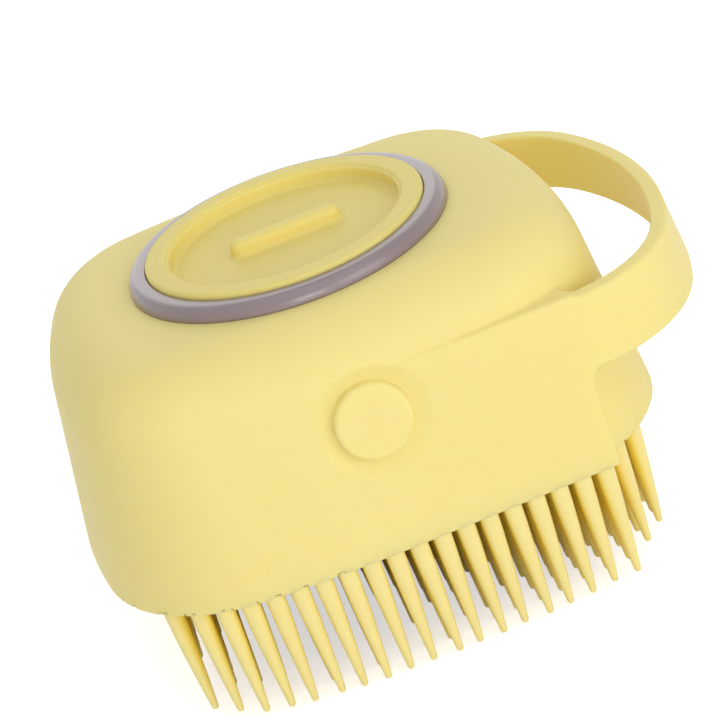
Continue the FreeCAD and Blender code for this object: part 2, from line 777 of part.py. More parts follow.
for item in doc.Objects:
    if "Invalid" in item.State or "Error" in item.State:
        raise RuntimeError(item.Name + " failed to recompute")
for name, item in parts.items():
    if item.Shape.isNull() or not item.Shape.isValid():
        raise RuntimeError(name + " has no valid shape")

os.makedirs("parts", exist_ok=True)
for name, item in parts.items():
    item.Shape.exportStep("parts/%s.step" % name)
    box = item.Shape.BoundBox
    print("%-18s solids %d  volume %8.1f  x %.1f..%.1f  y %.1f..%.1f  z %.1f..%.1f" % (
        name, len(item.Shape.Solids), item.Shape.Volume,
        box.XMin, box.XMax, box.YMin, box.YMax, box.ZMin, box.ZMax))
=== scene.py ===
"""Looks of the silicone bath brush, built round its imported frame.

The moulded pieces are drawn as distance fields in the brush's own frame: millimetres,
Z = 0 where the bristles leave the base, Z axis through the middle of the filling mouth.
A field is negative inside the piece. net() turns it into a mesh in the CAD's frame, in metres.
"""

import math
import random

import bpy
import numpy as np
from mathutils import Matrix, Vector


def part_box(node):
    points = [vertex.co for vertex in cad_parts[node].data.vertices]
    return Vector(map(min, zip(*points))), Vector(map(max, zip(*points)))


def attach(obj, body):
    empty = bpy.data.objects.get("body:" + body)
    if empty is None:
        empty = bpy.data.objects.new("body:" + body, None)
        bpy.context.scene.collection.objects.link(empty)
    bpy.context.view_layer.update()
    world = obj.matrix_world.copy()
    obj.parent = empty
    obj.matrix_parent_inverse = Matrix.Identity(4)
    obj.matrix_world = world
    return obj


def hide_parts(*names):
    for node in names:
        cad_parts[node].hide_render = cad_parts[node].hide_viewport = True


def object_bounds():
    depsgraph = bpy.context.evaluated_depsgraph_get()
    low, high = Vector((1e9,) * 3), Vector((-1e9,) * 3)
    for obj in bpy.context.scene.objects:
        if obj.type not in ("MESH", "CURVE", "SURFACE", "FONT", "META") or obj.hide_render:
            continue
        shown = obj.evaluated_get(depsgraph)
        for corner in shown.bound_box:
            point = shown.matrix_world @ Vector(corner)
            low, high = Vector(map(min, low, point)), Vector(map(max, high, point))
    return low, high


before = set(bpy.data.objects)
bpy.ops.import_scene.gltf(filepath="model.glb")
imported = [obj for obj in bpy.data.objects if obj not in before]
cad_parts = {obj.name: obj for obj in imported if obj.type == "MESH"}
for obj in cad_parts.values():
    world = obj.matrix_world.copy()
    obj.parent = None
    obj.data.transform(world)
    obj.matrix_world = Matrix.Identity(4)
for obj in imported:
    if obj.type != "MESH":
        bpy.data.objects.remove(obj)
cad_low, cad_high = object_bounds()

MM = 0.001

# ---------------------------------------------------------------- sizes, from the frame

collar_low, collar_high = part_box("mouth_collar")
body_low, body_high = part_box("brush_body")
left_low, left_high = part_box("bristles_left")

ORIGIN = Vector(((collar_low.x + collar_high.x) / 2, 0.0, body_low.z))
HALF_LENGTH = (ORIGIN.x - left_low.x) / MM
TOP = (body_high.z - ORIGIN.z) / MM
CROWN = (collar_high.z - ORIGIN.z) / MM
BLOCK_EDGE = (ORIGIN.x - left_high.x) / MM

# ---------------------------------------------------------------- sizes in millimetres

# Body: leaning walls on an outline of tangent arcs, shoulder, reservoir, mouth and outlet.
DRAFT = math.radians(9.5)
SLOPE, COS, SIN = math.tan(DRAFT), math.cos(DRAFT), math.sin(DRAFT)
HALF_WIDTH, SHOULDER = 38.5, 11.0
END_RADIUS, SIDE_RADIUS, CORNER_RADIUS = 100.0, 180.0, 22.7
WALL, CEILING, CEILING_ROUND, FLOOR, FLOOR_ROUND = 3.2, 30.7, 7.5, 4.0, 4.0
MOUTH_RADIUS, MOUTH_START = 22.0, CEILING - 8.0
OUTLET_RADIUS, OUTLET_END = 4.0, FLOOR + 3.0
CREASE = 0.2

# Strap and the panels that root it.
STRAP_REACH, STRAP_END_RADIUS, STRAP_CORNER = 58.2, 62.0, 25.0
STRAP_THICKNESS, STRAP_LOW, STRAP_TOP = 2.4, 14.0, 24.5
STRAP_EDGE, BAND_EDGE, BAND_FILLET, ROOM_CORNER = 0.5, 0.1, 1.8, 1.0
PANEL_START, PANEL_END = -1.5, 30.3
PANEL_FILLET, FILLET_START, FILLET_FULL = 0.45, 2.0, 10.0

# Buttons, each in a shallow dish.
BUTTON_HEIGHT, BUTTON_RADIUS, BUTTON_RISE, BUTTON_SINK, BUTTON_EDGE = 19.0, 5.5, 1.0, 3.0, 0.7
DISH_WIDTH, DISH_DEPTH = 3.2, 0.75

# Grey ring: rounded crown, flange inside the body, bore, and seat of the lid's rim.
RING_SHOULDER, RING_FOOT, RING_TOP, RING_STEPS = 22.9, 24.5, TOP + 2.1, 12
FLANGE_RADIUS, FLANGE_TOP, FLANGE_FOOT = 23.2, TOP - 3.0, TOP - 4.6
BORE_RADIUS, SEAT_RADIUS, SEAT = 19.8, 21.5, TOP + 1.2

# Lid: rim, hollow plug, plate under the dish, sealing rib, grip tab.
LID_UNDER, LID_RIM, LID_RIM_INNER, LID_RIM_EDGE = TOP + 1.3, 21.4, 18.1, 0.55
LID_PLUG, LID_PLUG_INNER, LID_PLUG_TOP, LID_PLUG_EDGE = 19.3, 17.7, CROWN - 0.4, 0.4
LID_FOOT = LID_UNDER - 3.2
LID_DISH, LID_PLATE, LID_PLATE_RADIUS, LID_FILLET = CROWN - 2.6, 1.5, 19.0, 0.7
RIB_HEIGHT, RIB_MIDDLE, RIB_RADIUS = LID_FOOT + 1.6, 19.1, 0.48
TAB_REACH, TAB_HALF, TAB_TOP, TAB_FOOT = 7.0, 1.55, CROWN - 0.3, LID_DISH - 0.5
TAB_EDGE, TAB_FILLET = 1.1, 0.9

# Outlet valve.
VALVE_DOME, VALVE_DOME_MIDDLE, VALVE_TOP = 7.0, 6.4, FLOOR + 0.5
VALVE_FLANGE, VALVE_FLANGE_THICKNESS, VALVE_EDGE = 6.0, 1.0, 0.3
VALVE_BORE, VALVE_SKIN, SLIT_REACH, SLIT_HALF, SLIT_EDGE = 2.8, 0.1, 2.3, 0.2, 0.08

# Grids of the nets. A ring with an inner radius of NO_HOLE is a disc.
SHELL_CELL, QUICK_CELL, LID_CELL, VALVE_CELL = 0.4, 0.6, 0.3, 0.14
SHELL_MARGIN, EDGE_LIFT, NO_HOLE = 2.0, 0.3, -9.0
LID_GRID = (-23, -23, 30), (23, 23, CROWN + 1)
VALVE_GRID = (-7, -7, -1.6), (7, 7, FLOOR + 2)

# Bristles. A root ring is a height and how much narrower than its root a strand is there.
PITCH, LAST_COLUMN, CLEARING = 3.5, 10, 6.5
NEIGHBOUR = 0.6 * PITCH
STRAND_ROOT, STRAND_TIP, SQUARE_DEPTH = 1.36, 0.52, 9.0
ROOT_RINGS = ((0.6, 0.3), (0.2, 0.08), (0.0, 0.0), (-0.2, 0.0))
STRAND_SIDES, TAPER_STEPS, TIP_STEPS = 16, 10, 4
TAPER_POWER, SQUARE_POWER = 1.6, 1.4
STANDING_CUT = 0.5
STRAND_LENGTH = (ORIGIN.z - cad_low.z) / MM + STANDING_CUT
END_DROP_LEFT, END_DROP_RIGHT, LENGTH_SPREAD = 1.1, 1.9, 0.25
LEAN, LEAN_PER_X, LEAN_SPREAD_X, LEAN_SPREAD_Y = 0.026, 0.0005, 0.008, 0.006
# Painted shade and light between the strands, a golden tint: it fades from SHADE_START to
# SHADE_END mm below the base, losing SHADE_LOSS, and outer strands lose it on sides facing the
# edge.
SHADE_START, SHADE_END, SHADE_LOSS, SHADE_TURN = 6.0, 18.0, 0.7, 0.9


# ---------------------------------------------------------------- distance fields

def meet(a, b, radius):
    """Common part of two fields, its edge rounded."""
    high = np.maximum(a + radius, b + radius)
    return (np.hypot(np.maximum(a + radius, 0), np.maximum(b + radius, 0))
            + np.minimum(high, 0) - radius)


def join(a, b, radius):
    """Both fields together, with a fillet in the corner between them."""
    return -meet(-a, -b, radius)


def cut(a, b, radius):
    """The first field without the second, the new edge rounded."""
    return meet(a, -b, radius)


def corner_middle(end_x, side_y, by_end, by_side):
    """Middle of a corner's arc, by_end from (end_x, 0) and by_side from (0, side_y)."""
    apart = math.hypot(end_x, side_y)
    along = (by_end ** 2 - by_side ** 2 + apart ** 2) / (2 * apart)
    aside = math.sqrt(by_end ** 2 - along ** 2)
    step_x, step_y = -end_x / apart, side_y / apart
    return end_x + step_x * along - step_y * aside, step_y * along + step_x * aside


def plan_field(x, y, length, width, end, side, corner):
    """Distance to an outline of tangent arcs: two ends, two sides and four corners."""
    x, y = np.abs(x), np.abs(y)
    end_x, side_y = length - end, width - side
    middle_x, middle_y = corner_middle(end_x, side_y, end - corner, side - corner)
    by_side = np.hypot(x, y - side_y) - side
    by_end = np.hypot(x - end_x, y) - end
    at_side = middle_x * (y - side_y) - (middle_y - side_y) * x > 0
    at_end = (middle_x - end_x) * y - middle_y * (x - end_x) < 0
    field = np.hypot(x - middle_x, y - middle_y) - corner
    field = np.where(at_side, by_side, field)
    field = np.where(at_end, by_end, field)
    return np.where(at_side & at_end, np.maximum(by_side, by_end), field)


def lean(plan, z):
    """Distance to a wall that stands on the plan's outline and leans in with the draft."""
    return (plan + z * SLOPE) * COS


def domed(plan, z, top, radius):
    """Leaning walls and a flat top, with an arc between them."""
    middle_z = top - radius
    middle = (-radius - SIN * middle_z) / COS
    out, up = plan - middle, z - middle_z
    flat = np.maximum(lean(plan, z), z - top)
    rounded = (COS * up - SIN * out >= 0) & (out >= 0)
    return np.where(rounded, np.hypot(out, up) - radius, flat)


def body_plan(x, y):
    """Distance to the body's outline on the base."""
    return plan_field(x, y, HALF_LENGTH, HALF_WIDTH, END_RADIUS, SIDE_RADIUS, CORNER_RADIUS)


def strap_plan(x, y):
    """Distance to the strap's outline: straight sides, two corners and the end arc."""
    y = np.abs(y)
    end_x = STRAP_REACH - STRAP_END_RADIUS
    middle_y = HALF_WIDTH - STRAP_CORNER
    middle_x = end_x + math.sqrt((STRAP_END_RADIUS - STRAP_CORNER) ** 2 - middle_y ** 2)
    at_end = (middle_x - end_x) * y - middle_y * (x - end_x) < 0
    field = np.hypot(x - middle_x, y - middle_y) - STRAP_CORNER
    field = np.where(at_end, np.hypot(x - end_x, y) - STRAP_END_RADIUS, field)
    return np.where(x < middle_x, y - HALF_WIDTH, field)


def strap_field(x, y, z):
    """Finger strap with the two side panels that root it on the walls."""
    outer = lean(strap_plan(x, y), z)
    band = meet(z - STRAP_TOP, STRAP_LOW - z, BAND_EDGE)
    panel = np.maximum(z - STRAP_TOP, x - PANEL_END)
    side_view = np.maximum(join(band, panel, BAND_FILLET), PANEL_START - x)
    strap = meet(outer, side_view, STRAP_EDGE)
    room = meet(outer + STRAP_THICKNESS, PANEL_END - x, ROOM_CORNER)
    return cut(strap, room, STRAP_EDGE)


def on_side_wall(x, y, z):
    """Distance from the button's middle along the side wall, and out of the wall."""
    across = np.abs(y) - (HALF_WIDTH - BUTTON_HEIGHT * SLOPE)
    up = z - BUTTON_HEIGHT
    return np.hypot(x, COS * up - SIN * across), COS * across + SIN * up


def wall_field(x, y, z):
    """Body with strap and panels, going on below the base's plane.

    The fillet between them fades out towards the base, where both stand on one line.
    """
    body, strap = domed(body_plan(x, y), z, TOP, SHOULDER), strap_field(x, y, z)
    share = np.clip((z - FILLET_START) / (FILLET_FULL - FILLET_START), 0, 1)
    return (1 - share) * np.minimum(body, strap) + share * join(body, strap, PANEL_FILLET)


def shell_field(x, y, z):
    """The one silicone moulding: body, base, panels, strap, buttons and reservoir."""
    solid = np.maximum(wall_field(x, y, z), -z)

    around, out = on_side_wall(x, y, z)
    fall = np.clip((around - BUTTON_RADIUS) / DISH_WIDTH, 0, 1)
    dish = DISH_DEPTH * (1 - fall * fall * (3 - 2 * fall))
    solid = np.maximum(solid, out + dish)
    layer = np.maximum(out - BUTTON_RISE, -BUTTON_SINK - out)
    solid = join(solid, meet(around - BUTTON_RADIUS, layer, BUTTON_EDGE), CREASE)

    reservoir = domed(body_plan(x, y) + WALL, z, CEILING, CEILING_ROUND)
    solid = cut(solid, meet(reservoir, FLOOR - z, FLOOR_ROUND), CREASE)
    radius = np.hypot(x, y)
    mouth = np.maximum(radius - MOUTH_RADIUS, MOUTH_START - z)
    outlet = np.maximum(radius - OUTLET_RADIUS, z - OUTLET_END)
    return np.maximum(np.maximum(solid, -mouth), -outlet)


def ring(radius, inner, outer, z, low, high, rounding):
    """A turned band between two radii and two heights."""
    return meet(np.maximum(inner - radius, radius - outer),
                np.maximum(low - z, z - high), rounding)


def lid_field(x, y, z):
    """Plug lid: rim, dished top, sealing rib and a grip tab across the dish."""
    radius = np.hypot(x, y)
    rim = ring(radius, LID_RIM_INNER, LID_RIM, z, LID_UNDER, CROWN, LID_RIM_EDGE)
    plug = ring(radius, LID_PLUG_INNER, LID_PLUG, z, LID_FOOT, LID_PLUG_TOP, LID_PLUG_EDGE)
    plate = ring(radius, NO_HOLE, LID_PLATE_RADIUS, z, LID_DISH - LID_PLATE, LID_DISH, CREASE)
    rib = np.hypot(radius - RIB_MIDDLE, z - RIB_HEIGHT) - RIB_RADIUS
    lid = join(join(np.minimum(rim, plug), plate, LID_FILLET), rib, CREASE)
    tab_side = np.hypot(np.maximum(np.abs(x) - TAB_REACH, 0), y) - TAB_HALF
    tab = meet(tab_side, np.maximum(z - TAB_TOP, TAB_FOOT - z), TAB_EDGE)
    return join(lid, tab, TAB_FILLET)


def valve_field(x, y, z):
    """Outlet valve: flanged plug, thin domed membrane, crossed slit."""
    radius = np.hypot(x, y)
    dome = np.hypot(radius, z - VALVE_DOME_MIDDLE) - VALVE_DOME
    plug = meet(np.maximum(radius - OUTLET_RADIUS, dome), z - VALVE_TOP, CREASE)
    flange = ring(radius, NO_HOLE, VALVE_FLANGE, z, FLOOR, FLOOR + VALVE_FLANGE_THICKNESS,
                  VALVE_EDGE)
    bore = np.maximum(radius - VALVE_BORE, VALVE_SKIN - z)
    slit = np.minimum(np.maximum(np.abs(x) - SLIT_REACH, np.abs(y) - SLIT_HALF),
                      np.maximum(np.abs(y) - SLIT_REACH, np.abs(x) - SLIT_HALF))
    return cut(cut(np.minimum(plug, flange), bore, CREASE), slit, SLIT_EDGE)


# ---------------------------------------------------------------- meshes

def put_in_scene(name, data):
    """New object in the scene that shows the mesh, lamp or camera."""
    item = bpy.data.objects.new(name, data)
    bpy.context.scene.collection.objects.link(item)
    return item


def make_piece(name, points, faces, normals=None):
    """Smooth mesh object from points in the brush's own frame."""
    mesh = bpy.data.meshes.new(name)
    places = np.asarray(points) * MM + np.array(ORIGIN)
    mesh.from_pydata(places.tolist(), [], faces)
    mesh.polygons.foreach_set("use_smooth", np.ones(len(mesh.polygons), bool))
    mesh.update()
    if normals is not None:
        mesh.normals_split_custom_set_from_vertices(normals.tolist())
    return put_in_scene(name, mesh)


def slope_of(field, points, step=0.02):
    """Gradient of a field at each point."""
    sides = []
    for axis in range(3):
        shift = np.zeros(3)
        shift[axis] = step
        ahead, behind = points + shift, points - shift
        sides.append((field(*ahead.T) - field(*behind.T)) / (2 * step))
    return np.stack(sides, axis=1)


def crossings_of(grid, stride):
    """For each axis, the grid lines that cross the surface.

    They come as the line's number, whether it starts inside, and the place of the crossing.
    """
    inside = grid < 0
    crossings = []
    for axis in range(3):
        ahead, behind = [slice(None)] * 3, [slice(None)] * 3
        ahead[axis], behind[axis] = slice(1, None), slice(None, -1)
        found = np.argwhere(inside[tuple(ahead)] != inside[tuple(behind)])
        found = found[np.all(found > 0, axis=1)]
        line = found @ stride
        start, stop = grid.ravel()[line], grid.ravel()[line + stride[axis]]
        place = found.astype(float)
        place[:, axis] += start / (start - stop)
        crossings.append((line, start < 0, place))
    return crossings


def cell_points(crossings, stride, total):
    """Numbers of the cells that hold crossings, and the mean crossing in each."""
    count, places = np.zeros(total), np.zeros((3, total))
    for axis, (line, _, place) in enumerate(crossings):
        one, two = [stride[k] for k in range(3) if k != axis]
        for cells in (line, line - one, line - two, line - one - two):
            count += np.bincount(cells, minlength=total)
            for k in range(3):
                places[k] += np.bincount(cells, weights=place[:, k], minlength=total)
    used = np.flatnonzero(count)
    return used, (places[:, used] / count[used]).T


def net_faces(crossings, stride, number):
    """A face round each crossing, through the points of the four cells that share it."""
    faces = []
    for axis, (line, starts_inside, _) in enumerate(crossings):
        one, two = [stride[(axis + k) % 3] for k in (1, 2)]
        quads = np.stack([line - one - two, line - two, line, line - one], axis=1)
        quads[~starts_inside] = quads[~starts_inside][:, ::-1]
        faces.append(number[quads])
    return np.concatenate(faces)


def move_to_surface(points, field, furthest, least_steep=0.25):
    """Moves points along the field's slope onto its surface."""
    for _ in range(2):
        slope = slope_of(field, points)
        steep = np.maximum((slope ** 2).sum(axis=1), least_steep)
        step = np.clip(field(*points.T) / steep, -furthest, furthest)
        points -= slope * step[:, None]


def move_to_edge(points, cells, walls, cell):
    """Moves the points of cells in which walls meet the plane Z = 0 onto that edge.

    cells are the cells' low corners. Returns which points the edge has.
    """
    x, y, z = cells.T
    inner = np.array([walls(x + a, y + b, 0 * z) < 0 for a in (0, cell) for b in (0, cell)])
    edge = (z <= 0) & (z + cell > 0) & inner.any(axis=0) & ~inner.all(axis=0)
    points[edge, 2] = 0
    for _ in range(2):
        slope = slope_of(walls, points[edge]) * (1, 1, 0)
        points[edge] -= slope * walls(*points[edge].T)[:, None]
    return edge


def net(name, field, low, high, cell, walls=None):
    """Surface net of a field: one point in each cell it crosses, moved onto the surface.

    Given the walls, their edge on the plane Z = 0 stays crisp. Its normals are those a little
    up the walls, so the walls are shaded evenly down to it.
    """
    axes = [np.arange(a, b + cell, cell) for a, b in zip(low, high)]
    size = [len(axis) for axis in axes]
    grid = np.empty(size, np.float32)
    for index, x in enumerate(axes[0]):
        grid[index] = field(x, axes[1][:, None], axes[2][None, :])
    stride = np.array([size[1] * size[2], size[2], 1])
    crossings = crossings_of(grid, stride)
    used, points = cell_points(crossings, stride, grid.size)
    points = points * cell + np.array(low)
    move_to_surface(points, field, cell / 2)
    shaded = points.copy()
    if walls:
        cells = np.array(np.unravel_index(used, size)).T * cell + np.array(low)
        edge = move_to_edge(points, cells, walls, cell)
        shaded[edge] = points[edge] + (0, 0, EDGE_LIFT)
    normals = slope_of(field, shaded)
    normals /= np.maximum(np.linalg.norm(normals, axis=1), 1e-6)[:, None]
    number = np.full(grid.size, -1)
    number[used] = np.arange(len(used))
    return make_piece(name, points, net_faces(crossings, stride, number).tolist(), normals)


def turned(name, profile, segments=160):
    """Closed profile of (radius, height) points turned round the brush's axis."""
    turn = np.linspace(0, 2 * math.pi, segments, endpoint=False)
    radius, height = np.array(profile).T
    points = np.stack([np.outer(np.cos(turn), radius), np.outer(np.sin(turn), radius),
                       np.tile(height, (segments, 1))], axis=2).reshape(-1, 3)
    count = len(profile)
    faces = []
    for s in range(segments):
        for p in range(count):
            q, t = (p + 1) % count, (s + 1) % segments
            faces.append((s * count + p, t * count + p, t * count + q, s * count + q))
    return make_piece(name, points, faces)


def soften(corners, steps=6):
    """Profile through (radius, height, rounding) corners, each rounded by an arc."""
    points = []
    for index, (x, z, rounding) in enumerate(corners):
        if not rounding:
            points.append((x, z))
            continue
        here = Vector((x, z))
        before = Vector(corners[index - 1][:2])
        after = Vector(corners[(index + 1) % len(corners)][:2])
        back, on = (before - here).normalized(), (after - here).normalized()
        half = back.angle(on) / 2
        reach = rounding / math.tan(half)
        start, stop = here + back * reach, here + on * reach
        middle = here + (back + on).normalized() * (rounding / math.sin(half))
        first, last = start - middle, stop - middle
        for k in range(steps + 1):
            spoke = first.lerp(last, k / steps).normalized() * rounding
            points.append(tuple(middle + spoke))
    return points


# ---------------------------------------------------------------- moulding, lid, valve, ring

def make_shell():
    """The moulding. Its grid has no line on Z = 0, where the base lies."""
    cell = SHELL_CELL
    low = (-HALF_LENGTH - SHELL_MARGIN, -HALF_WIDTH - SHELL_MARGIN, -3.05 * cell)
    high = (STRAP_REACH + SHELL_MARGIN, HALF_WIDTH + SHELL_MARGIN, TOP + 1.5)
    return net("silicone_shell", shell_field, low, high, cell, wall_field)


def make_collar():
    """Grey ring: flange inside the body, bore, seat for the lid's rim, and rounded crown."""
    crown = []
    for k in range(1, RING_STEPS + 1):
        turn = math.pi / 2 * (1 - k / RING_STEPS)
        crown.append((RING_SHOULDER + (RING_FOOT - RING_SHOULDER) * math.cos(turn),
                      TOP + (RING_TOP - TOP) * math.sin(turn), 0))
    return turned("mouth_ring", soften([
        (MOUTH_RADIUS, FLANGE_TOP, 0.2), (FLANGE_RADIUS, FLANGE_TOP, 0.2),
        (FLANGE_RADIUS, FLANGE_FOOT, 0.4), (BORE_RADIUS, FLANGE_FOOT, 0.4),
        (BORE_RADIUS, SEAT, 0.3), (SEAT_RADIUS, SEAT, 0.2), (SEAT_RADIUS, RING_TOP, 0.2),
        (RING_SHOULDER, RING_TOP, 0), *crown, (MOUTH_RADIUS, TOP, 0.1),
    ]))


shell = make_shell()
lid = net("plug_lid", lid_field, *LID_GRID, LID_CELL)
valve = net("slit_valve", valve_field, *VALVE_GRID, VALVE_CELL)
collar = make_collar()


# ---------------------------------------------------------------- bristles

def column_reach(x):
    """How far from the middle plane a column of bristles reaches, flush with the wall."""
    if 0 <= x <= PANEL_END:
        return HALF_WIDTH
    outer = x + math.copysign(STRAND_ROOT, x)
    low, high = 0.0, HALF_WIDTH
    for _ in range(30):
        y = (low + high) / 2
        inside = max(body_plan(x, y), body_plan(outer, y)) < 0
        low, high = (y, high) if inside else (low, y)
    return low


def strand_places():
    """Bristle middles: straight columns, evenly filled from side to side."""
    places = []
    for column in range(-LAST_COLUMN, LAST_COLUMN + 1):
        x = column * PITCH
        last = column_reach(x) - STRAND_ROOT
        rows = round(2 * last / PITCH) + 1
        for row in range(rows):
            y = -last + 2 * last * row / (rows - 1)
            if math.hypot(x, y) > CLEARING:
                places.append(Vector((x, y)))
    return places


def strand_length(x):
    """Longest in the middle columns, a little shorter towards both ends."""
    drop = END_DROP_RIGHT if x > 0 else END_DROP_LEFT
    return STRAND_LENGTH - drop * (x / (PITCH * LAST_COLUMN)) ** 2


def strand_rings(length):
    """Half width, height and squareness down a strand.

    The root is squared and starts inside the base, with the outer row flush with the wall.
    Below, the strand turns round, tapers in a convex line and ends in a half ball.
    """
    rings = [(STRAND_ROOT - narrower, z, 1.0) for z, narrower in ROOT_RINGS]
    for k in range(1, TAPER_STEPS + 1):
        share = k / TAPER_STEPS
        depth = share * (length - STRAND_TIP)
        half = STRAND_ROOT - (STRAND_ROOT - STRAND_TIP) * share ** TAPER_POWER
        rings.append((half, -depth, max(0.0, 1 - depth / SQUARE_DEPTH)))
    for k in range(1, TIP_STEPS):
        turn = k / TIP_STEPS * math.pi / 2
        rings.append((STRAND_TIP * math.cos(turn),
                      STRAND_TIP - length - STRAND_TIP * math.sin(turn), 0.0))
    return rings


def squared(angle, squareness):
    """Point of a circle of radius 1, pulled towards a square of half width 1."""
    c, s = math.cos(angle), math.sin(angle)
    power = 2 + SQUARE_POWER * squareness
    size = (abs(c) ** power + abs(s) ** power) ** (-1 / power)
    return c * size, s * size


def ease(value, low, high):
    """0 below low, 1 above high, smooth between."""
    share = min(max((value - low) / (high - low), 0.0), 1.0)
    return share * share * (3 - 2 * share)


def outward(x, y, step=0.1):
    """Direction from a strand to the nearest edge of the base, and whether it is outermost."""
    edge = [float(body_plan(*place)) for place in ((x, y), (x + step, y), (x, y + step))]
    direction = Vector((edge[1] - edge[0], edge[2] - edge[0])).normalized()
    ahead = Vector((x, y)) + direction * PITCH
    return direction, all((ahead - place).length > NEIGHBOUR for place in strand_middles)


def make_strands(name, places):
    """One mesh of tapered strands, each a little different in lean and length.

    The point attribute made here is painted shade and light, a golden tint: 1 on inner strands;
    on outer strands it is on the sides turned from the edge, less further down; none at the
    tips.
    """
    rng = random.Random(name)
    points, faces, painted_glow_share = [], [], []
    angles = [2 * math.pi * (s + 0.5) / STRAND_SIDES for s in range(STRAND_SIDES)]
    for x, y in places:
        length = strand_length(x) - rng.uniform(0, LENGTH_SPREAD)
        lean_x = rng.gauss(LEAN + LEAN_PER_X * x, LEAN_SPREAD_X)
        lean_y = rng.gauss(0, LEAN_SPREAD_Y)
        direction, outermost = outward(x, y)
        first = len(points)
        rings = strand_rings(length)
        for half, z, squareness in rings:
            # Painted shade: the golden tint between the strands weakens further down.
            shade = 1 - SHADE_LOSS * ease(-z, SHADE_START, SHADE_END)
            for angle in angles:
                across, along = squared(angle, squareness)
                points.append((x + half * across - lean_x * min(z, 0),
                               y + half * along - lean_y * min(z, 0), z))
                facing = direction.x * math.cos(angle) + direction.y * math.sin(angle)
                painted_glow_share.append(shade * (1 - ease(facing, 0.0, SHADE_TURN) if outermost else 1.0))
        points.append((x + lean_x * length, y + lean_y * length, -length))
        painted_glow_share.append(0.0)
        faces.append(tuple(first + s for s in range(STRAND_SIDES)))
        for level in range(len(rings) - 1):
            upper = first + level * STRAND_SIDES
            lower = upper + STRAND_SIDES
            for s in range(STRAND_SIDES):
                t = (s + 1) % STRAND_SIDES
                faces.append((upper + s, lower + s, lower + t, upper + t))
        lowest, tip = first + (len(rings) - 1) * STRAND_SIDES, len(points) - 1
        for s in range(STRAND_SIDES):
            faces.append((lowest + s, tip, lowest + (s + 1) % STRAND_SIDES))
    piece = make_piece(name, points, faces)
    attribute = piece.data.attributes.new("painted_glow_share", "FLOAT", "POINT")
    attribute.data.foreach_set("value", painted_glow_share)
    return piece


def block_of(x, y):
    """The CAD block of bristles that a strand stands in."""
    if x < -BLOCK_EDGE:
        return "bristles_left"
    if x > BLOCK_EDGE:
        return "bristles_right"
    return "bristles_front" if y < 0 else "bristles_rear"


strand_middles = strand_places()
blocks = {}
for place in strand_middles:
    blocks.setdefault(block_of(*place), []).append(place)
strands = {block: make_strands(block.replace("bristles", "strands"), places)
           for block, places in blocks.items()}


# ---------------------------------------------------------------- materials

def linear(red, green, blue):
    """sRGB 0..255 to linear colour."""
    out = []
    for value in (red, green, blue):
        value /= 255
        out.append(value / 12.92 if value <= 0.04045 else ((value + 0.055) / 1.055) ** 2.4)
    return (*out, 1.0)


class Nodes:
    """Short hand for the node tree of a material or the world."""

    def __init__(self, owner, shader="Principled BSDF"):
        owner.use_nodes = True
        self.owner = owner
        self.tree = owner.node_tree
        self.shader = self.tree.nodes[shader]

    def add(self, kind, inputs, **settings):
        """New node. Its inputs are numbers, colours or other nodes' outputs."""
        node = self.tree.nodes.new(kind)
        for key, value in settings.items():
            setattr(node, key, value)
        for socket, source in inputs.items():
            if isinstance(source, (int, float, tuple)):
                node.inputs[socket].default_value = source
            else:
                self.tree.links.new(source, node.inputs[socket])
        return node

    def mix(self, factor, first, second):
        """Colour between two: sockets 0, 6 and 7 of a colour Mix node, and output 2."""
        node = self.add("ShaderNodeMix", {0: factor, 6: first, 7: second}, data_type="RGBA")
        return node.outputs[2]

    def noise(self, place, scale, detail, roughness=0.5):
        """Cloudy value around 0.5."""
        node = self.add("ShaderNodeTexNoise", {"Vector": place, "Scale": scale,
                                               "Detail": detail, "Roughness": roughness})
        return node.outputs["Fac"]

    def spread(self, value, low, high, start=0.3, stop=0.7):
        """Value from start to stop spread over low to high."""
        node = self.add("ShaderNodeMapRange", {"Value": value, "From Min": start,
                                               "From Max": stop, "To Min": low, "To Max": high})
        return node.outputs["Result"]

    def shown(self, unseen, seen):
        """One value where camera, gloss or glass show the surface, another for its light."""
        path = self.add("ShaderNodeLightPath", {}).outputs
        value = path["Is Camera Ray"]
        for ray in ("Is Glossy Ray", "Is Transmission Ray"):
            value = self.add("ShaderNodeMath", {0: value, 1: path[ray]},
                             operation="MAXIMUM").outputs[0]
        return self.spread(value, unseen, seen, start=0.0, stop=1.0)

    def set(self, **values):
        """Constant values on the shader's own sockets."""
        for key, value in values.items():
            self.shader.inputs[key.replace("_", " ")].default_value = value

    def link(self, source, socket):
        self.tree.links.new(source, self.shader.inputs[socket])


def silicone(name, light, dark, scale=28.0, scatter=0.35, reach=0.004, painted_glow_colour=None):
    """Soft matte moulded silicone: cloudy colour, fine grain, light inside.

    Given a golden tint, a point attribute blends it in: painted shade and painted light
    between the strands, standing in for light that comes through the silicone.
    """
    nodes = Nodes(bpy.data.materials.new(name))
    place = nodes.add("ShaderNodeTexCoord", {}).outputs["Object"]
    tone = nodes.mix(nodes.noise(place, scale, detail=3.0), light, dark)
    # Painted shade and light: a golden tint between the strands, by the strands' point
    # attribute.
    if painted_glow_colour:
        painted_glow_mask = nodes.add("ShaderNodeAttribute", {}, attribute_name="painted_glow_share").outputs["Fac"]
        tone = nodes.mix(painted_glow_mask, tone, painted_glow_colour)
    nodes.link(tone, "Base Color")
    grain = nodes.noise(place, 2600.0, detail=2.0, roughness=0.6)
    nodes.link(nodes.spread(grain, low=0.46, high=0.58), "Roughness")
    bump = nodes.add("ShaderNodeBump", {"Height": grain, "Strength": 0.10,
                                        "Distance": 0.00012})
    nodes.link(bump.outputs["Normal"], "Normal")
    nodes.set(Subsurface_Weight=scatter, Subsurface_Scale=reach,
              Subsurface_Radius=(1.0, 0.75, 0.22), IOR=1.41, Specular_IOR_Level=0.4)
    return nodes.owner


